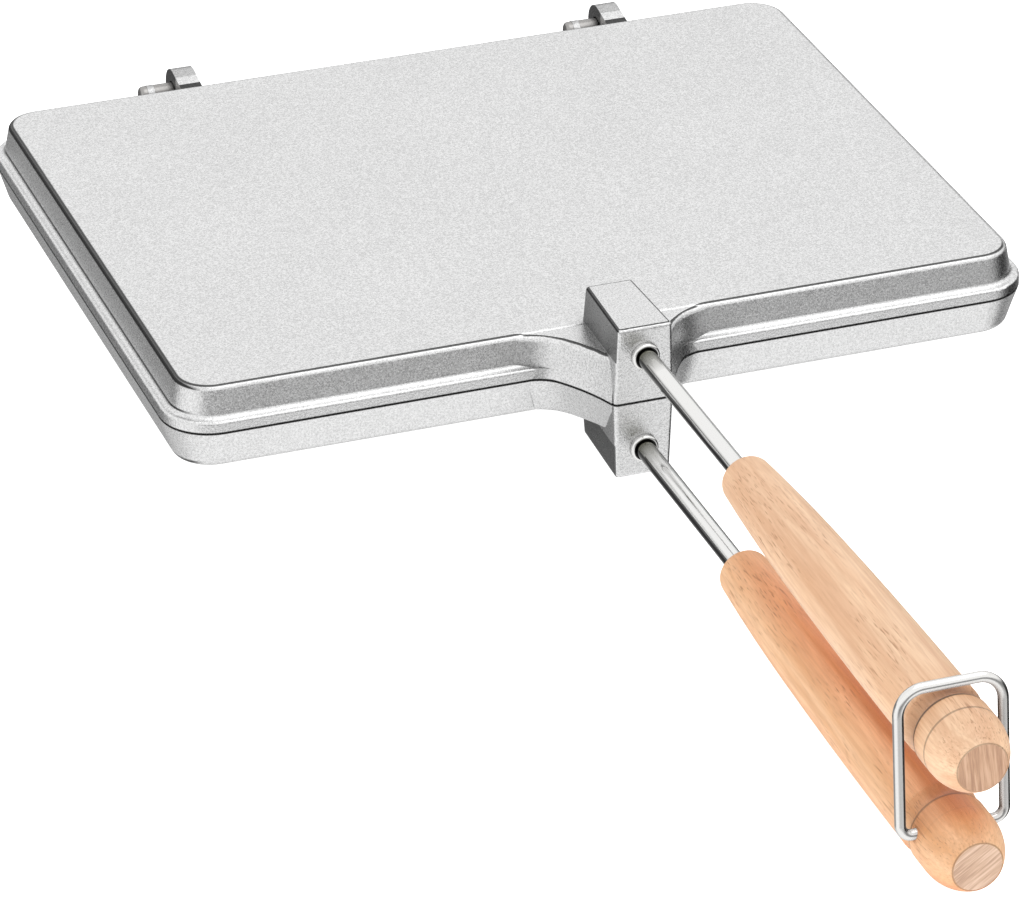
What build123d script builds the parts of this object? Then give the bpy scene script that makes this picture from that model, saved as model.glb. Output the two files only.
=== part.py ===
"""Double-sided grill pan: two cast aluminium halves on hook hinges, with rod handles, wooden grips and
a wire bail that holds them shut.

Millimetres. X runs along the pan's long side, -Y points to the handles and +Z is up. The origin is the
centre of the lower half's flat underside. Neck, boss and cooking tray are drawn for the lower half, on a
plane that faces down from the seam, and mirrored for the upper half.
"""
import os
from math import atan2, cos, hypot, radians, sin, tan

from build123d import *

os.makedirs("parts", exist_ok=True)

# Overall sizes
plate_width = 269.0
plate_depth = 202.4
half_height = 13.0
corner_radius = 15.0
seam_gap = 0.4

# Upper half: flange lip, ledge, cove and raised wall
lip_height = 3.3
lip_draft = 3.0
lip_round = 0.8
ledge_width = 2.7
cove_radius = 1.5
wall_draft = 10.5
top_round = 1.9

# Lower half: one plain drafted wall
base_draft = 17.0
base_round = 3.2

# Cooking tray inside each half, with its ridges
rim_width = 5.2
tray_depth = 9.6
tray_draft = 12.0
tray_round = 2.5
ridge_count = 16
ridge_pitch = 15.0
ridge_width = 3.6
ridge_height = 1.5
ridge_draft = 25.0
ridge_sink = 0.3
ridge_end_gap = 7.0

# Neck that flares from the plate's front edge to the boss: one arc turns off the edge as far as the knee,
# and a wider one runs on to the boss. Its flat face lies a step lower than the plate's, and the sink hides
# where one drafted face starts on another
knee_x = 18.9
knee_drop = 4.2
knee_angle = 53.0
flare_end = 71.0
neck_root = 25.0
neck_setback = 1.2
neck_step = 0.3
neck_sink = 0.05

# Handle boss
boss_reach = 22.9
boss_length = 29.7
boss_height = 24.3
boss_base_width = 18.4
boss_front_width = 16.9
boss_rear_width = 14.4
boss_round = 1.2
boss_top_round = 1.1

# Handle rods and their collars
rod_diameter = 5.8
rod_height = 15.0
rod_in_boss = 24.0
rod_in_grip = 112.0
rod_chamfer = 0.4
fit_gap = 0.04
collar_diameter = 8.4
collar_stand = 1.8
collar_seat = 2.4
collar_round = 0.7

# Turned grips: each diameter stands at a distance from the end that the rod enters, and tangent arcs
# run between them
grip_gap = 76.2
grip_length = 159.7
nose_diameter = 14.6
nose_round = 1.9
neck_diameter = 15.8
neck_at = 8.0
waist_diameter = 19.8
waist_at = 50.0
barrel_diameter = 22.2
barrel_at = 134.0
groove_from_end = 21.5
groove_width = 6.0
groove_depth = 0.7
crown_length = 11.5
end_diameter = 14.4
end_round = 0.7

# Wire bail, which clears the groove and the grip's sides by the two gaps
wire_diameter = 3.0
bail_top_gap = 1.1
bail_side_gap = 2.1
bail_foot_radius = 3.2
bail_top_radius = 7.0
bail_pivot_from_end = 16.0
bail_pivot_rise = 2.7
bail_foot_depth = 6.5
bail_hole_gap = 0.1
bail_hole_spare = 1.0

# Hinges: an open hook on the upper half, over a pin whose narrow neck is riveted through an ear of the
# lower half
hinge_spacing = 144.0
hinge_setback = 4.6
hinge_rise = 7.6
pin_diameter = 6.0
pin_neck_diameter = 3.4
pin_bevel = 0.6
pin_head_diameter = 6.0
pin_head_length = 2.4
pin_head_round = 1.4
hook_gap = 0.4
hook_thickness = 3.8
hook_width = 7.0
hook_offset = 4.0
hook_slope = 12.0
hook_wrap = 58.0
hook_root = 4.0
pin_shoulder = 6.3
pin_end_gap = 0.3
ear_radius = 3.1
ear_width = 2.2
ear_front_gap = 0.6
ear_foot = 11.0
ear_root = 7.0

# Places worked out from the sizes
seam_z = half_height
shell_height = half_height - seam_gap / 2
upper_seam = Plane(origin=(0, 0, seam_z + seam_gap / 2), x_dir=(1, 0, 0), z_dir=(0, 0, 1))
lower_seam = Plane(origin=(0, 0, seam_z - seam_gap / 2), x_dir=(-1, 0, 0), z_dir=(0, 0, -1))
front_edge = -plate_depth / 2
rear_edge = plate_depth / 2
boss_front = front_edge - boss_reach
upper_rod_z = seam_z + rod_height
lower_rod_z = seam_z - rod_height
grip_front = boss_front - grip_gap
grip_end = grip_front - grip_length
bail_pivot_y = grip_end + bail_pivot_from_end
bail_pivot_z = lower_rod_z + bail_pivot_rise
bail_rise = 2 * rod_height - bail_pivot_rise + barrel_diameter / 2 - groove_depth + bail_top_gap
bail_rise += wire_diameter / 2
bail_run = groove_from_end - bail_pivot_from_end
bail_height = hypot(bail_rise, bail_run)
bail_lean = atan2(bail_run, bail_rise)
bail_width = barrel_diameter + 2 * bail_side_gap + wire_diameter
hinge_y = rear_edge + hinge_setback
hinge_z = seam_z + hinge_rise
hinge_centres = (-hinge_spacing / 2, hinge_spacing / 2)
hook_start = hook_offset - hook_width / 2
ear_start = hook_start - pin_shoulder - ear_width


def edges_at(part, height):
    """The edges of a part that lie flat at one height."""
    return part.edges().filter_by_position(Axis.Z, height - 0.01, height + 0.01)


def make_neck(inset, height, draft, sink=0):
    """The solid neck between plate and boss. Its flares leave a wall that stands in from the plate's edge."""
    wall = front_edge + inset + neck_sink
    knee = (sink - knee_x, front_edge - knee_drop + sink)
    turn_radius = (wall - knee[1]) / (1 - cos(radians(knee_angle)))
    start = (knee[0] - turn_radius * sin(radians(knee_angle)), wall)
    with BuildPart() as neck:
        with BuildSketch(lower_seam):
            with BuildLine():
                turn = JernArc(start, (1, 0), turn_radius, -knee_angle)
                drop = (turn @ 1).Y - boss_front - neck_setback
                flare_radius = drop / (cos(radians(knee_angle)) - cos(radians(flare_end)))
                flare = JernArc(turn @ 1, turn % 1, flare_radius, knee_angle - flare_end)
                Line(flare @ 1, (0, (flare @ 1).Y))
                Polyline(start, (start[0], wall + neck_root), (0, wall + neck_root))
                mirror(about=Plane.YZ)
            make_face()
        extrude(amount=height, taper=draft)
    return neck.part


def rounded_below(neck, radius):
    """A neck with the edges of its flat face rounded."""
    with BuildPart() as rounded:
        add(neck)
        fillet(edges_at(rounded, neck_step), radius)
    return rounded.part


def make_boss():
    """The square boss that the handle rod enters, from the seam to its outer face."""
    rise = boss_height - seam_gap / 2
    boss_rear = boss_front + boss_length
    with BuildPart() as boss:
        with BuildSketch(lower_seam):
            with Locations((0, boss_front + boss_length / 2)):
                Rectangle(boss_base_width, boss_length)
        with BuildSketch(lower_seam.offset(rise)):
            Polygon(
                (-boss_rear_width / 2, boss_rear),
                (boss_rear_width / 2, boss_rear),
                (boss_front_width / 2, boss_front),
                (-boss_front_width / 2, boss_front),
                align=None,
            )
        loft(ruled=True)
        fillet(boss.edges().filter_by(lambda edge: abs(edge.tangent_at(0.5).Z) > 0.9), boss_round)
        fillet(edges_at(boss, seam_z - boss_height), boss_top_round)
    return boss.part


def make_tray():
    """The hollow of one cooking tray, less the ridges on its floor."""
    floor_z = lower_seam.offset(tray_depth).origin.Z
    slope = tray_depth * tan(radians(tray_draft))
    ridge_length = plate_depth - 2 * (rim_width + slope + ridge_end_gap)
    with BuildPart() as tray:
        with BuildSketch(lower_seam):
            RectangleRounded(
                plate_width - 2 * rim_width, plate_depth - 2 * rim_width, corner_radius - rim_width
            )
        extrude(amount=tray_depth, taper=tray_draft)
        fillet(edges_at(tray, floor_z), tray_round)
        with BuildSketch(Plane.XY.offset(floor_z - ridge_sink)):
            with GridLocations(ridge_pitch, 0, ridge_count, 1):
                Rectangle(ridge_width, ridge_length)
        extrude(amount=ridge_height + ridge_sink, taper=ridge_draft, mode=Mode.SUBTRACT)
    return tray.part


def make_hook(centre):
    """One hinge hook, cast on the upper half's back edge and curled over the pin."""
    axis = (hinge_y, hinge_z)
    curl = 90 + hook_slope + hook_wrap
    back = rear_edge - ledge_width - hook_root
    with BuildPart() as hook:
        with BuildSketch(Plane.YZ.offset(centre + hook_start)):
            with BuildLine():
                inner = CenterArc(axis, pin_diameter / 2 + hook_gap, 90 + hook_slope, -curl)
                outer = CenterArc(
                    axis, pin_diameter / 2 + hook_gap + hook_thickness, 90 + hook_slope, -curl
                )
                TangentArc(outer @ 1, inner @ 1, tangent=outer % 1)
                fall = tan(radians(hook_slope))
                shoulder = (back, (outer @ 0).Y - ((outer @ 0).X - back) * fall)
                throat = (back, (inner @ 0).Y - ((inner @ 0).X - back) * fall)
                Line(outer @ 0, shoulder)
                Line(shoulder, throat)
                Line(throat, inner @ 0)
            make_face()
        extrude(amount=hook_width)
    return hook.part


def make_ear(start):
    """One hinge ear on the lower half, standing behind the upper half's flange."""
    front = rear_edge + ear_front_gap
    with BuildPart() as ear:
        with BuildSketch(Plane.YZ.offset(start)):
            with Locations((hinge_y, hinge_z)):
                Circle(ear_radius)
            Polygon(
                (front, hinge_z),
                (hinge_y + ear_radius, hinge_z),
                (hinge_y + ear_radius * 0.8, seam_z - ear_radius),
                (rear_edge - ear_root / 3, seam_z - ear_foot),
                (rear_edge - ear_root, seam_z - ear_foot),
                (rear_edge - ear_root, seam_z - ear_radius),
                (front, seam_z - ear_radius),
                align=None,
            )
            with Locations((hinge_y, hinge_z)):
                Circle(pin_neck_diameter / 2 + fit_gap, mode=Mode.SUBTRACT)
        extrude(amount=ear_width)
    return ear.part


seam_mirror = Plane.XY.offset(seam_z)
neck_height = shell_height - neck_step
lower_neck = rounded_below(make_neck(0, neck_height, base_draft), base_round)
wall_foot = ledge_width - lip_height * tan(radians(wall_draft))
raised_neck = rounded_below(make_neck(wall_foot, neck_height, wall_draft), top_round)
lip_neck = make_neck(0, lip_height, wall_draft, neck_sink)
upper_neck = mirror(raised_neck + lip_neck, about=seam_mirror)
lower_boss = make_boss()
upper_boss = mirror(lower_boss, about=seam_mirror)
lower_tray = make_tray()
upper_tray = mirror(lower_tray, about=seam_mirror)
hooks = [make_hook(centre) for centre in hinge_centres]
ears = [make_ear(centre + ear_start) for centre in hinge_centres]

with BuildPart() as upper_plate:
    with BuildSketch(upper_seam):
        RectangleRounded(plate_width, plate_depth, corner_radius)
    extrude(amount=lip_height, taper=lip_draft)
    with BuildSketch(upper_seam.offset(lip_height)):
        RectangleRounded(
            plate_width - 2 * ledge_width, plate_depth - 2 * ledge_width, corner_radius - ledge_width
        )
    extrude(amount=shell_height - lip_height, taper=wall_draft)
    ledge_z = upper_seam.offset(lip_height).origin.Z
    ledge_edges = edges_at(upper_plate, ledge_z).sort_by(Axis.Y)
    fillet(ledge_edges[1], cove_radius)
    fillet(edges_at(upper_plate, ledge_z).sort_by(Axis.Y)[0], lip_round)
    fillet(edges_at(upper_plate, seam_z + half_height), top_round)
    add([upper_neck, upper_boss, *hooks])
    add(upper_tray, mode=Mode.SUBTRACT)
    with Locations(Plane(origin=(0, boss_front, upper_rod_z), x_dir=(1, 0, 0), z_dir=(0, -1, 0))):
        CounterBoreHole(
            rod_diameter / 2 + fit_gap, collar_diameter / 2 + fit_gap, collar_seat, rod_in_boss
        )
upper_plate.part.label = "upper_plate"
export_step(upper_plate.part, "parts/upper_plate.step")

with BuildPart() as lower_plate:
    with BuildSketch(lower_seam):
        RectangleRounded(plate_width, plate_depth, corner_radius)
    extrude(amount=shell_height, taper=base_draft)
    fillet(edges_at(lower_plate, 0), base_round)
    add([lower_neck, lower_boss, *ears])
    add(lower_tray, mode=Mode.SUBTRACT)
    with Locations(Plane(origin=(0, boss_front, lower_rod_z), x_dir=(1, 0, 0), z_dir=(0, -1, 0))):
        CounterBoreHole(
            rod_diameter / 2 + fit_gap, collar_diameter / 2 + fit_gap, collar_seat, rod_in_boss
        )
lower_plate.part.label = "lower_plate"
export_step(lower_plate.part, "parts/lower_plate.step")

# The lower handle repeats the upper one, so its pieces are copies one handle spacing below
below = Location((0, 0, -2 * rod_height))

with BuildPart() as upper_rod:
    rod_plane = Plane(
        origin=(0, boss_front + rod_in_boss, upper_rod_z), x_dir=(1, 0, 0), z_dir=(0, -1, 0)
    )
    with BuildSketch(rod_plane):
        Circle(rod_diameter / 2)
    extrude(amount=rod_in_boss + grip_gap + rod_in_grip)
    chamfer(upper_rod.edges().filter_by(GeomType.CIRCLE), rod_chamfer)
upper_rod.part.label = "upper_rod"
export_step(upper_rod.part, "parts/upper_rod.step")

with BuildPart() as lower_rod:
    with Locations(below):
        add(upper_rod.part)
lower_rod.part.label = "lower_rod"
export_step(lower_rod.part, "parts/lower_rod.step")

with BuildPart() as upper_rod_collar:
    collar_plane = Plane(
        origin=(0, boss_front + collar_seat, upper_rod_z), x_dir=(1, 0, 0), z_dir=(0, -1, 0)
    )
    with BuildSketch(collar_plane):
        Circle(collar_diameter / 2)
        Circle(rod_diameter / 2 + fit_gap, mode=Mode.SUBTRACT)
    extrude(amount=collar_seat + collar_stand)
    fillet(upper_rod_collar.edges().group_by(Axis.Y)[0].sort_by(SortBy.RADIUS)[-1], collar_round)
upper_rod_collar.part.label = "upper_rod_collar"
export_step(upper_rod_collar.part, "parts/upper_rod_collar.step")

with BuildPart() as lower_rod_collar:
    with Locations(below):
        add(upper_rod_collar.part)
lower_rod_collar.part.label = "lower_rod_collar"
export_step(lower_rod_collar.part, "parts/lower_rod_collar.step")

with BuildPart() as upper_grip:
    with BuildSketch(Plane(origin=(0, grip_front, upper_rod_z), x_dir=(1, 0, 0), z_dir=(0, 0, 1))):
        groove_at = grip_length - groove_from_end
        with BuildLine():
            barrel_start = (barrel_diameter / 2, -barrel_at)
            barrel_end = (barrel_diameter / 2, crown_length - grip_length)
            belly = TangentArc(barrel_start, (waist_diameter / 2, -waist_at), tangent=(0, 1))
            waist = TangentArc(belly @ 1, (neck_diameter / 2, -neck_at), tangent=belly % 1)
            nose = TangentArc(waist @ 1, (nose_diameter / 2, 0), tangent=waist % 1)
            Polyline(nose @ 1, (0, 0), (0, -grip_length), (end_diameter / 2, -grip_length))
            TangentArc(barrel_end, (end_diameter / 2, -grip_length), tangent=(0, -1))
            groove = ThreePointArc(
                (barrel_diameter / 2, groove_width / 2 - groove_at),
                (barrel_diameter / 2 - groove_depth, -groove_at),
                (barrel_diameter / 2, -groove_width / 2 - groove_at),
            )
            Line(barrel_start, groove @ 0)
            Line(groove @ 1, barrel_end)
        make_face()
    revolve(axis=Axis((0, grip_front, upper_rod_z), (0, -1, 0)))
    fillet(upper_grip.edges().group_by(Axis.Y)[-1], nose_round)
    fillet(upper_grip.edges().group_by(Axis.Y)[0], end_round)
    with Locations(Plane(origin=(0, grip_front, upper_rod_z), x_dir=(1, 0, 0), z_dir=(0, 1, 0))):
        Hole(rod_diameter / 2 + fit_gap, rod_in_grip + fit_gap)
upper_grip.part.label = "upper_grip"
export_step(upper_grip.part, "parts/upper_grip.step")

with BuildPart() as lower_grip:
    with Locations(below):
        add(upper_grip.part)
    for side in (-1, 1):
        mouth = (side * barrel_diameter / 2, bail_pivot_y, bail_pivot_z)
        with Locations(Plane(origin=mouth, x_dir=(0, 1, 0), z_dir=(side, 0, 0))):
            Hole(wire_diameter / 2 + bail_hole_gap, bail_foot_depth + bail_hole_spare)
lower_grip.part.label = "lower_grip"
export_step(lower_grip.part, "parts/lower_grip.step")

# The bail is drawn in its own plane, which leans back until the wire lies over the upper grip's groove
with BuildPart() as handle_bail:
    bail_normal = (0, -cos(bail_lean), sin(bail_lean))
    bail_plane = Plane(origin=(0, bail_pivot_y, bail_pivot_z), x_dir=(1, 0, 0), z_dir=bail_normal)
    foot = barrel_diameter / 2 - bail_foot_depth
    leg = bail_width / 2
    with BuildLine(bail_plane) as wire_path:
        FilletPolyline(
            (-foot, 0),
            (-leg, 0),
            (-leg, bail_height),
            (leg, bail_height),
            (leg, 0),
            (foot, 0),
            radius=[bail_foot_radius, bail_top_radius, bail_top_radius, bail_foot_radius],
        )
    with BuildSketch(wire_path.line ^ 0):
        Circle(wire_diameter / 2)
    sweep()
handle_bail.part.label = "handle_bail"
export_step(handle_bail.part, "parts/handle_bail.step")

with BuildPart() as left_hinge_pin:
    ear_left = Plane(
        origin=(hinge_centres[0] + ear_start, hinge_y, hinge_z), x_dir=(0, 1, 0), z_dir=(1, 0, 0)
    )
    with BuildSketch(ear_left):
        Circle(pin_head_diameter / 2)
    extrude(amount=-pin_head_length)
    fillet(left_hinge_pin.edges().group_by(Axis.X)[0], pin_head_round)
    with BuildSketch(ear_left):
        Circle(pin_neck_diameter / 2)
    extrude(amount=ear_width)
    with BuildSketch(ear_left.offset(ear_width)):
        Circle(pin_diameter / 2)
    extrude(amount=pin_shoulder + hook_width - pin_end_gap)
    chamfer(left_hinge_pin.edges().group_by(Axis.X)[-1], pin_bevel)
left_hinge_pin.part.label = "left_hinge_pin"
export_step(left_hinge_pin.part, "parts/left_hinge_pin.step")

with BuildPart() as right_hinge_pin:
    with Locations((hinge_spacing, 0, 0)):
        add(left_hinge_pin.part)
right_hinge_pin.part.label = "right_hinge_pin"
export_step(right_hinge_pin.part, "parts/right_hinge_pin.step")
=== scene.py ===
"""Looks of the double-sided grill pan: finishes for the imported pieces, a pale floor, soft light and the
camera.

Metres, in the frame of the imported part: -Y points to the handles and +Z is up.
"""
from math import cos, radians, sin
from types import SimpleNamespace

import bpy
from mathutils import Matrix, Vector


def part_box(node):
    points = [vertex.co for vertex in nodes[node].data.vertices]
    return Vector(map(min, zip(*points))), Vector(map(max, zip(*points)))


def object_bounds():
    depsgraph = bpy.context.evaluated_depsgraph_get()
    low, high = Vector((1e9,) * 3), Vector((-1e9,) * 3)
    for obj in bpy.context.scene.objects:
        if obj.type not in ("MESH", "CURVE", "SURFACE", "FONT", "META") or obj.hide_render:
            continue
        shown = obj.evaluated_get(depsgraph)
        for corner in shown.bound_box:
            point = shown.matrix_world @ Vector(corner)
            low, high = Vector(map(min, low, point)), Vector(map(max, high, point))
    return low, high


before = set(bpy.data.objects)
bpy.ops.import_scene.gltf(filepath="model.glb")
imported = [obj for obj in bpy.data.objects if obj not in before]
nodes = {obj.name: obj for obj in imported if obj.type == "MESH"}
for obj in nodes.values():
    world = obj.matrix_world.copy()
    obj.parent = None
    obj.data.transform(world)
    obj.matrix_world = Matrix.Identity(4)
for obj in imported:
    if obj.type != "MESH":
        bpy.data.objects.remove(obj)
cad_low, cad_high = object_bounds()

WHITE = (1.0, 1.0, 1.0)
MILLIMETRE = 0.001

# Camera, found from the photograph: it looks at the aim point from an azimuth and an elevation in degrees
CAMERA_AZIMUTH = -20.16
CAMERA_ELEVATION = 29.04
CAMERA_ROLL = 0.14
CAMERA_DISTANCE = 1.7348
CAMERA_AIM = (-0.0078, -0.0347, -0.0480)
CAMERA_LENS = 198.95
SENSOR_WIDTH = 36.0

# Floor, which leaves room for the bail under the pan
FLOOR_COLOUR = (0.86, 0.86, 0.86)
FLOOR_GLOW = 0.8
FLOOR_SIZE = 6.0
BAIL_ROOM = 0.006

# Soft light above the pan
KEY_PLACE = (0.5, -0.2, 1.6)
KEY_SIZE = (1.4, 1.4)
KEY_POWER = 5
KEY_AIM = (0, -0.05, 0)

# Tones of the surroundings, from straight down (0) over the horizon (0.5) to straight up (1), towards the
# front and towards the back, with a bright panel low on the left and a dark flag low on the right
FRONT_TONES = (
    (0.0, 1.0), (0.28, 1.0), (0.35, 0.55), (0.41, 0.34), (0.5, 0.22), (0.55, 0.35), (0.66, 1.0),
)
BACK_TONES = (
    (0.0, 0.8), (0.2, 0.6), (0.27, 0.08), (0.34, 0.38), (0.42, 0.25), (0.48, 0.04), (0.515, 0.12),
    (0.56, 0.6), (0.64, 0.94),
)
PANEL_DIRECTION = (-0.955, -0.25, -0.15)
PANEL_EDGE = (0.65, 0.9)
FLAG_DIRECTION = (0.91, -0.1, -0.38)
FLAG_EDGE = (0.82, 0.93)
FLAG_TONE = (0.02, 0.02, 0.02)

# Heights: the seam, and the rods' axes above and below it
SEAM_HEIGHT = 0.013
ROD_OFFSET = 0.015

# Cast aluminium: the scales of its grain and clouds, the clouds' share, the depth of the grain and how far
# the painted shade of a hollow reaches
GRAIN_SCALE = 1900
CLOUD_SCALE = 28
CLOUD_SHARE = 0.2
GRAIN_DEPTH = 0.0001
HOLLOW_REACH = 0.04

# The crease between the plate's flat face and the neck's, which is left without a painted dark edge line
CREASE_SIDE = 0.0316
CREASE_BEND = 31.0
CREASE_FRONT = -0.0953

# Heights from the seam: the lowest edge with a painted dark line of shade, the neck's flat face, and the
# plate's
LINE_RISE = 0.0105
CREASE_RISE = 0.0136
FACE_RISE = 0.0125

# The back end of the boss, half its widest width, where the flat face near it starts, the plate's edge in
# front of the hinges, and the front of the hooks
BOSS_BACK = -0.094
BOSS_SIDE = 0.02
FACE_FRONT = -0.06
HINGE_FRONT = 0.098
HINGE_REAR = 0.1018

# Half the neck's widest width, the foot of the raised wall at the pan's sides and its height from the seam
NECK_SIDE = 0.05
WALL_SIDE = 0.129
FOOT_RISE = 0.0047

# How far to the side a face has to turn to count as a side, and how dark the painted shade is on the boss's
# flanks, the hooks and the hooks' sides
SIDE_FACING = 0.8
FLANK_PAINTED_SHADE = (0.32, 0.32, 0.32)
HOOK_PAINTED_SHADE = (0.68, 0.68, 0.68)
HOOK_SIDE_PAINTED_SHADE = (0.25, 0.25, 0.25)

# Steel: the scale and depth of its drawn marks, its colours, the painted shade where other pieces are close
# to it (brown on the wire), and the radius of the painted shade round the hollow in a collar
DRAWN_SCALE = 1800
DRAWN_DEPTH = 0.000004
BRIGHT_COLOUR = (0.93, 0.925, 0.91)
WIRE_COLOUR = (0.9, 0.89, 0.87)
PIN_COLOUR = (0.42, 0.41, 0.40)
STEEL_SHADE = (0.08, 0.08, 0.08)
WIRE_SHADE = (0.22, 0.12, 0.07)
COLLAR_SHADE_RADIUS = 0.0036

# A rod's painted dark reflection down its left side waves a little, and the painted shade at its root starts
# at the boss's front and fades within half of the reach
STREAK_SCALE = 70
STREAK_WAVE = 0.06
ROD_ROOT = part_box("upper_plate")[0][1]
ROOT_REACH = 0.03
ROOT_PAINTED_SHADE = (0.16, 0.16, 0.13)

# Wood: the scales of its bands, clouds, fibres, pores, patches of pores and sawn rings, its browns, its
# roughness and the depth of its fibres
BAND_SCALE = 130
WOOD_CLOUD_SCALE = 38
FIBRE_SCALE = 1500
PORE_SCALE = 2400
PATCH_SCALE = 110
RING_SCALE = 900
CLOUD_BROWN = (0.80, 0.40, 0.18)
FIBRE_BROWN = (0.60, 0.33, 0.18)
PORE_BROWN = (0.42, 0.20, 0.10)
SAWN_TONES = ((0.4, (0.45, 0.27, 0.18)), (0.5, (0.58, 0.37, 0.25)), (0.62, (0.7, 0.48, 0.35)))
WOOD_ROUGHNESS = 0.36
FIBRE_DEPTH = 0.00005

# How near the other grip has to be to brown the wood with painted shade, and the tones from shut in to open
CLOSE_REACH = 0.022
CLOSE_SHADE_TONES = ((0.2, (0.72, 0.34, 0.13)), (0.62, (1.0, 0.8, 0.62)), (0.88, 1.0))

# Lines turned on the grips: their places from the end face, half widths, and the tone of the painted shade in
# the groove
GRIP_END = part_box("upper_grip")[0][1]
GROOVE_AT = GRIP_END + 0.0215
GROOVE_EDGE = GRIP_END + 0.0187
SCORE_AT = GRIP_END + 0.0118
GROOVE_HALF = 0.0034
GROOVE_EDGE_HALF = 0.0006
SCORE_HALF = 0.0004
GROOVE_PAINTED_SHADE = 0.86


class Shader:
    """A node tree with short calls for adding nodes and links."""

    def __init__(self, tree):
        self.tree = tree

    def add(self, kind, inputs=None, **settings):
        """A new node; each input is a value, or a socket to link from."""
        node = self.tree.nodes.new(kind)
        for name, value in settings.items():
            setattr(node, name, value)
        for name, value in (inputs or {}).items():
            self.put(node.inputs[name], value)
        return node

    def put(self, socket, value):
        """Sets a socket's value or links it."""
        if isinstance(value, bpy.types.NodeSocket):
            self.tree.links.new(value, socket)
        else:
            socket.default_value = value

    def math(self, operation, *values):
        """A Math node's result."""
        node = self.tree.nodes.new("ShaderNodeMath")
        node.operation = operation
        for socket, value in zip(node.inputs, values):
            self.put(socket, value)
        return node.outputs[0]

    def above(self, value, limit):
        """1 where a value is over a limit, and 0 elsewhere."""
        return self.math("GREATER_THAN", value, limit)

    def below(self, value, limit):
        """1 where a value is under a limit, and 0 elsewhere."""
        return self.math("LESS_THAN", value, limit)

    def both(self, first, second):
        """Where two masks overlap."""
        return self.math("MULTIPLY", first, second)

    def either(self, first, *others):
        """Where at least one of several masks is."""
        for other in others:
            first = self.math("MAXIMUM", first, other)
        return first

    def split(self, vector):
        """A vector's X, Y and Z."""
        return self.add("ShaderNodeSeparateXYZ", {0: vector}).outputs

    def ramp(self, factor, *stops):
        """A colour ramp's colour; each stop is a position and a colour or a grey."""
        node = self.tree.nodes.new("ShaderNodeValToRGB")
        self.put(node.inputs[0], factor)
        elements = node.color_ramp.elements
        while len(elements) < len(stops):
            elements.new(0.5)
        for element, (place, colour) in zip(elements, stops):
            element.position = place
            grey = not isinstance(colour, tuple)
            element.color = (colour, colour, colour, 1) if grey else (*colour, 1)
        return node.outputs[0]

    def mix(self, factor, first, second, blend="MIX"):
        """Two colours mixed."""
        node = self.tree.nodes.new("ShaderNodeMix")
        node.data_type = "RGBA"
        node.blend_type = blend
        for index, value in ((0, factor), (6, first), (7, second)):
            if isinstance(value, tuple) and len(value) == 3:
                value = (*value, 1)
            self.put(node.inputs[index], value)
        return node.outputs[2]

    def tint(self, tone, *shades):
        """A colour darkened by each of several colours or greys."""
        for shade in shades:
            tone = self.mix(1.0, tone, shade, "MULTIPLY")
        return tone

    def noise(self, vector, scale, detail=2.0, roughness=0.5):
        """Noise in 3-D, as a grey."""
        settings = {"Vector": vector, "Scale": scale, "Detail": detail, "Roughness": roughness}
        return self.add("ShaderNodeTexNoise", settings).outputs["Fac"]

    def scaled(self, vector, scale, offset=(0, 0, 0)):
        """A vector scaled, and then moved."""
        settings = {"Vector": vector, "Location": offset, "Scale": scale}
        return self.add("ShaderNodeMapping", settings).outputs[0]

    def openness(self, distance, alone):
        """How open the surface is, from 0 in hollows to 1; alone leaves the other pieces out."""
        settings = {"Distance": distance}
        node = self.add("ShaderNodeAmbientOcclusion", settings, samples=4, only_local=alone)
        return node.outputs["AO"]

    def bump(self, height, distance, strength=1.0):
        """A bump normal from a height of 0 to 1, whose full step is distance metres."""
        settings = {"Height": height, "Distance": distance, "Strength": strength}
        return self.add("ShaderNodeBump", settings).outputs[0]

    def line(self, place, middle, half_width, dark):
        """A grey line at a place along an axis, dark in its middle and gone just past half its width."""
        away = self.math("ABSOLUTE", self.math("SUBTRACT", place, middle))
        return self.ramp(self.math("DIVIDE", away, half_width * 2), (0.3, dark), (0.6, 1.0))


def new_material(name, **constants):
    """A material with one Principled shader: returns it, its tree's calls and the shader."""
    material = bpy.data.materials.new(name)
    material.use_nodes = True
    material.node_tree.nodes.clear()
    shader = Shader(material.node_tree)
    surface = shader.add("ShaderNodeBsdfPrincipled", constants)
    output = shader.add("ShaderNodeOutputMaterial")
    shader.put(output.inputs["Surface"], surface.outputs[0])
    return material, shader, surface


def casting_places(shader, coordinates):
    """Where a point of a casting is, which way it faces and which part of the casting it is on."""
    at = shader.split(coordinates["Object"])
    facing = shader.split(coordinates["Normal"])
    side = shader.math("ABSOLUTE", at["X"])
    rise = shader.math("ABSOLUTE", shader.math("SUBTRACT", at["Z"], SEAM_HEIGHT))
    in_front = shader.below(at["Y"], BOSS_BACK)
    at_boss = shader.both(in_front, shader.below(side, BOSS_SIDE))
    return SimpleNamespace(
        at=at,
        facing=facing,
        side=side,
        rise=rise,
        level=shader.math("ABSOLUTE", facing["Z"]),
        sideways=shader.above(shader.math("ABSOLUTE", facing["X"]), SIDE_FACING),
        in_front=in_front,
        at_boss=at_boss,
        flank=shader.both(at_boss, shader.above(rise, CREASE_RISE)),
    )


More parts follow.
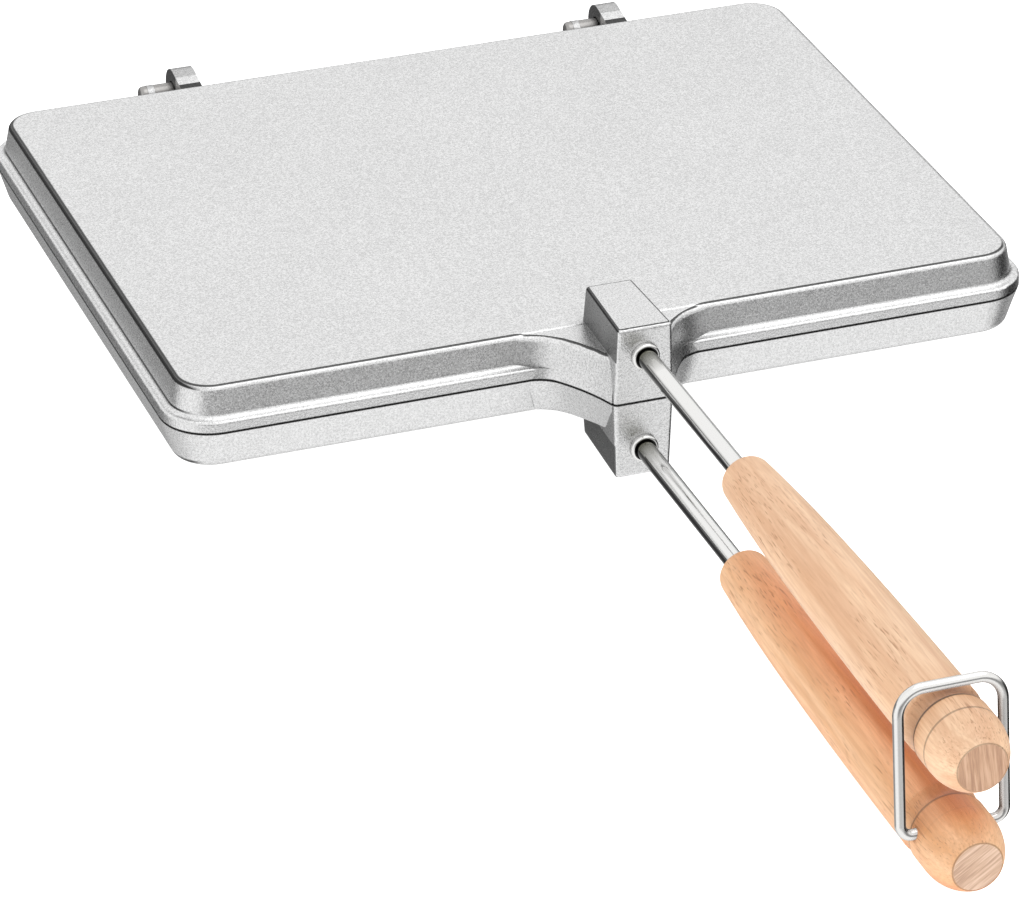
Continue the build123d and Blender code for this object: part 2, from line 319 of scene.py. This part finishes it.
def painted_edge_shade(shader, spot):
    """Painted shade: dark lines along the rounded edges of the flat faces, broad on the left and none where
    the edge turns right or back, runs low, lies in the neck's crease or meets the hinges."""
    fine = shader.ramp(spot.level, (0.80, 1.0), (0.87, 0.16), (0.98, 0.08), (0.998, 1.0))
    broad = shader.ramp(spot.level, (0.3, 1.0), (0.45, 0.05), (0.98, 0.05), (0.998, 1.0))
    leftward = shader.ramp(shader.math("MULTIPLY", spot.facing["X"], -1.0), (0.4, 0.0), (0.6, 1.0))
    off_neck = shader.either(spot.flank, shader.above(spot.side, NECK_SIDE))
    dark = shader.mix(shader.both(leftward, off_neck), fine, broad)

    spare = shader.math("MAXIMUM", shader.math("SUBTRACT", CREASE_SIDE, spot.side), 0.0)
    bend = shader.math("MULTIPLY", shader.math("MULTIPLY", spare, spare), CREASE_BEND)
    behind = shader.above(shader.math("ADD", spot.at["Y"], bend), CREASE_FRONT)
    crease = shader.both(behind, shader.below(spot.rise, CREASE_RISE))
    crease = shader.both(crease, shader.above(spare, 0.0))
    away = shader.ramp(shader.math("ADD", spot.facing["X"], spot.facing["Y"]), (0.1, 0.0), (0.3, 1.0))
    away = shader.math("SUBTRACT", away, spot.at_boss)
    low = shader.below(spot.rise, LINE_RISE)
    plain = shader.either(crease, away, low, shader.above(spot.at["Y"], HINGE_FRONT))
    return shader.mix(plain, dark, WHITE)


def seam_line(shader, spot):
    """The dark gap at the seam, on upright faces."""
    dark = shader.ramp(shader.math("DIVIDE", spot.rise, MILLIMETRE), (0.3, 0.08), (0.5, 1.0))
    return shader.mix(shader.below(spot.level, 0.6), WHITE, dark)


def foot_shade_line(shader, spot):
    """Painted shade: a dark line at the foot of the upper half's raised wall, at the pan's sides."""
    away = shader.math("ABSOLUTE", shader.math("SUBTRACT", spot.at["Z"], SEAM_HEIGHT + FOOT_RISE))
    dark = shader.ramp(shader.math("DIVIDE", away, MILLIMETRE), (0.22, 0.12), (0.4, 1.0))
    outer = shader.ramp(shader.math("DIVIDE", spot.side, 2 * WALL_SIDE), (0.49, 0.0), (0.504, 1.0))
    return shader.mix(outer, WHITE, dark)


def flank_shade(shader, spot):
    """Painted shade on the sides of the boss."""
    return shader.mix(shader.both(spot.flank, spot.sideways), WHITE, FLANK_PAINTED_SHADE)


def hook_shade(shader, spot):
    """Painted shade on the hooks, darker still on their sides."""
    dark = shader.mix(spot.sideways, HOOK_PAINTED_SHADE, HOOK_SIDE_PAINTED_SHADE)
    return shader.mix(shader.above(spot.at["Y"], HINGE_REAR), WHITE, dark)


def hollow_shade(shader, spot):
    """Painted shade in hollows, deepest round the boss."""
    open_part = shader.openness(HOLLOW_REACH, True)
    mild = shader.ramp(open_part, (0.3, 0.5), (0.6, 1.0))
    lifted = shader.math("MULTIPLY_ADD", spot.level, 0.12, open_part)
    deep = shader.ramp(lifted, (0.45, 0.04), (0.65, 0.26), (0.85, 1.0))
    near_boss = shader.ramp(shader.math("MULTIPLY", spot.side, 20.0), (0.4, 1.0), (0.9, 0.0))
    on_face = shader.both(shader.above(spot.rise, FACE_RISE), shader.below(spot.at["Y"], FACE_FRONT))
    near_boss = shader.both(near_boss, shader.either(spot.in_front, on_face))
    return shader.mix(near_boss, mild, deep)


def cast_aluminium():
    """Blasted cast aluminium: pale and matt, with a fine grain, faint clouds, a dark seam gap and painted
    shade.
    """
    material, shader, surface = new_material("cast_aluminium", Metallic=1.0)
    coordinates = shader.add("ShaderNodeTexCoord").outputs
    spot = casting_places(shader, coordinates)
    grain = shader.noise(coordinates["Object"], GRAIN_SCALE, detail=2, roughness=0.7)
    clouds = shader.noise(coordinates["Object"], CLOUD_SCALE, detail=3)
    tone = shader.ramp(grain, (0.38, 0.62), (0.62, 1.0))
    tone = shader.mix(CLOUD_SHARE, tone, shader.ramp(clouds, (0.3, 0.78), (0.7, 0.9)))
    # Painted shade as dark edge lines, dark boss sides, a dark foot line, dark hooks and dark hollows,
    # besides the seam's dark gap
    for shade in (painted_edge_shade, seam_line, flank_shade, foot_shade_line, hook_shade, hollow_shade):
        tone = shader.tint(tone, shade(shader, spot))
    shader.put(surface.inputs["Base Color"], tone)
    shader.put(surface.inputs["Roughness"], shader.ramp(grain, (0.3, 0.24), (0.7, 0.34)))
    shader.put(surface.inputs["Normal"], shader.bump(grain, GRAIN_DEPTH))
    return material


def collar_hollow_shade(shader, at, shaded_radius):
    """Painted shade round the hollow inside a collar, about each rod's axis."""
    offset = shader.math("SUBTRACT", at["Z"], SEAM_HEIGHT)
    height = shader.math("SUBTRACT", shader.math("ABSOLUTE", offset), ROD_OFFSET)
    square = shader.math("MULTIPLY_ADD", at["X"], at["X"], shader.math("MULTIPLY", height, height))
    radius = shader.math("DIVIDE", shader.math("SQRT", square), shaded_radius)
    return shader.ramp(radius, (0.94, 0.02), (1.0, 1.0))


def rod_dark_reflection(shader, coordinates):
    """A painted dark reflection down a rod's left side, with a slightly wavy edge."""
    wave = shader.noise(coordinates["Object"], STREAK_SCALE, detail=1)
    wave = shader.math("MULTIPLY_ADD", wave, STREAK_WAVE, -STREAK_WAVE / 2)
    left = shader.math("SUBTRACT", wave, shader.split(coordinates["Normal"])["X"])
    return shader.ramp(left, (0.91, 1.0), (0.96, 0.06))


def rod_root_shade(shader, at):
    """Painted shade at a rod's root, in front of the boss."""
    out = shader.math("DIVIDE", shader.math("SUBTRACT", ROD_ROOT, at["Y"]), ROOT_REACH)
    return shader.ramp(out, (0.1, ROOT_PAINTED_SHADE), (0.5, 1.0))


def bright_steel(name, colour, roughness, shaded_radius=0.0, reach=0.01, shade=STEEL_SHADE, painted_rod_shade=False):
    """Drawn steel, plated bright, with fine marks along its length. Pieces within reach darken it with
    painted shade, a radius gives it painted shade round a hollow, and a rod can get a painted dark reflection
    down its left side and painted shade at its root by the boss."""
    material, shader, surface = new_material(name, Metallic=1.0)
    coordinates = shader.add("ShaderNodeTexCoord").outputs
    place = coordinates["Object"]
    at = shader.split(place)
    drawn = shader.noise(shader.scaled(place, (1, 0.04, 1)), DRAWN_SCALE, detail=2)
    # Painted shade where other pieces are close, brown on the wire
    tone = shader.tint(colour, shader.ramp(shader.openness(reach, False), (0.25, shade), (0.7, 1.0)))
    # Painted dark reflection down a rod's left side and painted shade at its root
    if painted_rod_shade:
        tone = shader.tint(tone, rod_dark_reflection(shader, coordinates), rod_root_shade(shader, at))
    # Painted shade round the hollow inside a collar
    if shaded_radius:
        tone = shader.tint(tone, collar_hollow_shade(shader, at, shaded_radius))
    shader.put(surface.inputs["Base Color"], tone)
    sheen = shader.ramp(drawn, (0.3, roughness - 0.03), (0.7, roughness + 0.06))
    shader.put(surface.inputs["Roughness"], sheen)
    shader.put(surface.inputs["Normal"], shader.bump(drawn, DRAWN_DEPTH))
    return material


def wood_figure(shader, place, fibres, offset, light, dark):
    """The wood's growth bands, clouds, fibres and short pores."""
    bands = shader.noise(shader.scaled(place, (1, 0.045, 1), offset), BAND_SCALE, detail=4, roughness=0.6)
    clouds = shader.noise(shader.scaled(place, (1, 0.35, 1), offset), WOOD_CLOUD_SCALE, detail=2)
    pores = shader.noise(shader.scaled(place, (1, 0.07, 1), offset), PORE_SCALE, detail=1)
    patches = shader.noise(shader.scaled(place, (1, 0.25, 1), offset), PATCH_SCALE, detail=1)
    tone = shader.mix(shader.ramp(bands, (0.38, 0.0), (0.6, 1.0)), dark, light)
    tone = shader.mix(shader.ramp(clouds, (0.45, 0.0), (0.75, 0.45)), tone, CLOUD_BROWN)
    tone = shader.mix(shader.ramp(fibres, (0.4, 0.3), (0.6, 0.0)), tone, FIBRE_BROWN)
    pores = shader.ramp(pores, (0.58, 0.0), (0.72, 1.0))
    patches = shader.ramp(patches, (0.42, 0.1), (0.62, 0.75))
    return shader.mix(shader.both(pores, patches), tone, PORE_BROWN)


def sawn_end(shader, place, offset, ring_turn, tint):
    """Sawn end grain, whose lines are turned about the grip's axis by an angle in degrees."""
    settings = {"Vector": place, "Axis": (0, 1, 0), "Angle": radians(ring_turn)}
    turned = shader.add("ShaderNodeVectorRotate", settings).outputs[0]
    rings = shader.noise(shader.scaled(turned, (1, 1, 0.06), offset), RING_SCALE, detail=3, roughness=0.7)
    return shader.tint(shader.ramp(rings, *SAWN_TONES), tint)


def beech(name, offset, light, dark, ring_turn, end_tint, score, groove):
    """Oiled beech: tan, with growth bands, fibres, short pores, turned lines and sawn end grain, painted
    brown shade where the other grip is close and painted shade in the groove; the last two arguments are the
    tones of the scored line and of the painted shade along the groove's edge."""
    material, shader, surface = new_material(name, Metallic=0.0, Roughness=WOOD_ROUGHNESS)
    coordinates = shader.add("ShaderNodeTexCoord").outputs
    place = coordinates["Object"]
    along = shader.split(place)["Y"]
    fibres = shader.noise(shader.scaled(place, (1, 0.045, 1), offset), FIBRE_SCALE, detail=2)
    # Painted brown shade where the other grip is close, the scored line, and painted shade in the groove and
    # along its edge
    tone = shader.tint(
        wood_figure(shader, place, fibres, offset, light, dark),
        shader.ramp(shader.openness(CLOSE_REACH, False), *CLOSE_SHADE_TONES),
        shader.line(along, SCORE_AT, SCORE_HALF, score),
        shader.line(along, GROOVE_AT, GROOVE_HALF, GROOVE_PAINTED_SHADE),
        shader.line(along, GROOVE_EDGE, GROOVE_EDGE_HALF, groove),
    )
    end_on = shader.math("ABSOLUTE", shader.split(coordinates["Normal"])["Y"])
    sawn = sawn_end(shader, place, offset, ring_turn, end_tint)
    tone = shader.mix(shader.ramp(end_on, (0.985, 0.0), (0.996, 1.0)), tone, sawn)
    tone = shader.tint(tone, shader.ramp(end_on, (0.80, 1.0), (0.9, 0.5), (0.97, 0.6), (0.995, 1.0)))
    shader.put(surface.inputs["Base Color"], tone)
    height = shader.mix(0.5, fibres, shader.line(along, SCORE_AT, SCORE_HALF, 2 * score - 1))
    shader.put(surface.inputs["Normal"], shader.bump(height, FIBRE_DEPTH))
    return material


def dress(names, material):
    """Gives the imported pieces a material."""
    for name in names:
        mesh = nodes[name].data
        mesh.materials.clear()
        mesh.materials.append(material)


def make_floor():
    """The plain pale floor, just below the pan, where the bail clears it when it is swung right round."""
    half = FLOOR_SIZE / 2
    mesh = bpy.data.meshes.new("floor")
    corners = [(-half, -half), (half, -half), (half, half), (-half, half)]
    mesh.from_pydata([(x, y, cad_low.z - BAIL_ROOM) for x, y in corners], [], [(0, 1, 2, 3)])
    floor = bpy.data.objects.new("floor", mesh)
    bpy.context.collection.objects.link(floor)
    material, _, surface = new_material("floor", Metallic=0.0, Roughness=0.9)
    surface.inputs["Base Color"].default_value = (*FLOOR_COLOUR, 1)
    surface.inputs["Emission Color"].default_value = (*WHITE, 1)
    surface.inputs["Emission Strength"].default_value = FLOOR_GLOW
    mesh.materials.append(material)
    floor.visible_glossy = False


def make_camera():
    """The camera, at the photograph's viewing angle."""
    azimuth, elevation, roll = radians(CAMERA_AZIMUTH), radians(CAMERA_ELEVATION), radians(CAMERA_ROLL)
    back = Vector((sin(azimuth) * cos(elevation), -cos(azimuth) * cos(elevation), sin(elevation)))
    level = Vector((cos(azimuth), sin(azimuth), 0))
    right = cos(roll) * level + sin(roll) * back.cross(level)
    up = back.cross(right)
    data = bpy.data.cameras.new("camera")
    data.sensor_width = SENSOR_WIDTH
    data.lens = CAMERA_LENS
    camera = bpy.data.objects.new("camera", data)
    place = Vector(CAMERA_AIM) + back * CAMERA_DISTANCE
    camera.matrix_world = Matrix.Translation(place) @ Matrix((right, up, back)).transposed().to_4x4()
    bpy.context.collection.objects.link(camera)
    bpy.context.scene.camera = camera


def make_light(name, place, size, power, aim):
    """A soft rectangular light that points at a place."""
    data = bpy.data.lights.new(name, "AREA")
    data.shape = "RECTANGLE"
    data.size, data.size_y = size
    data.energy = power
    light = bpy.data.objects.new(name, data)
    light.location = place
    light.rotation_euler = (Vector(aim) - Vector(place)).to_track_quat("-Z", "Y").to_euler()
    bpy.context.collection.objects.link(light)


def towards(shader, direction, aim, edge):
    """A patch of the surroundings round the direction of an aim, as a mask with a soft edge."""
    node = shader.add("ShaderNodeVectorMath", {0: direction, 1: aim}, operation="DOT_PRODUCT")
    return shader.ramp(node.outputs["Value"], (edge[0], 0.0), (edge[1], 1.0))


def make_world():
    """Soft surroundings: bright above and low in front, dark round the horizon and low at the back, with a
    bright panel and a dark flag."""
    world = bpy.data.worlds.new("studio")
    world.use_nodes = True
    world.node_tree.nodes.clear()
    shader = Shader(world.node_tree)
    direction = shader.add("ShaderNodeTexCoord").outputs["Generated"]
    parts = shader.split(direction)
    height = shader.math("MULTIPLY_ADD", parts["Z"], 0.5, 0.5)
    behind = shader.ramp(shader.math("MULTIPLY_ADD", parts["Y"], 0.5, 0.5), (0.38, 0.0), (0.62, 1.0))
    tone = shader.mix(behind, shader.ramp(height, *FRONT_TONES), shader.ramp(height, *BACK_TONES))
    tone = shader.mix(towards(shader, direction, PANEL_DIRECTION, PANEL_EDGE), tone, WHITE)
    tone = shader.mix(towards(shader, direction, FLAG_DIRECTION, FLAG_EDGE), tone, FLAG_TONE)
    background = shader.add("ShaderNodeBackground", {"Color": tone, "Strength": 1.0})
    output = shader.add("ShaderNodeOutputWorld")
    shader.put(output.inputs["Surface"], background.outputs[0])
    bpy.context.scene.world = world


dress(["upper_plate", "lower_plate"], cast_aluminium())
dress(["upper_rod", "lower_rod"], bright_steel("bright_steel", BRIGHT_COLOUR, 0.1, painted_rod_shade=True))
collar_steel = bright_steel("collar_steel", BRIGHT_COLOUR, 0.16, shaded_radius=COLLAR_SHADE_RADIUS)
dress(["upper_rod_collar", "lower_rod_collar"], collar_steel)
dress(["handle_bail"], bright_steel("wire_steel", WIRE_COLOUR, 0.15, reach=0.02, shade=WIRE_SHADE))
dress(["left_hinge_pin", "right_hinge_pin"], bright_steel("pin_steel", PIN_COLOUR, 0.3))

upper_beech = beech(
    "upper_beech", offset=(0, 0, 0), light=(0.95, 0.67, 0.445), dark=(0.76, 0.46, 0.28),
    ring_turn=8, end_tint=(0.89, 0.82, 0.74), score=0.55, groove=0.25,
)
lower_beech = beech(
    "lower_beech", offset=(0.31, 0.47, 0.13), light=(0.93, 0.61, 0.37), dark=(0.76, 0.42, 0.21),
    ring_turn=-55, end_tint=(1.05, 1.1, 1.13), score=0.95, groove=0.55,
)
dress(["upper_grip"], upper_beech)
dress(["lower_grip"], lower_beech)

# The grips are kept out of reflections, so the aluminium doesn't mirror them
for name in ("upper_grip", "lower_grip"):
    nodes[name].visible_glossy = False

make_floor()
make_world()
make_light("key", KEY_PLACE, KEY_SIZE, KEY_POWER, KEY_AIM)
make_camera()
bpy.context.scene.view_settings.view_transform = "Standard"
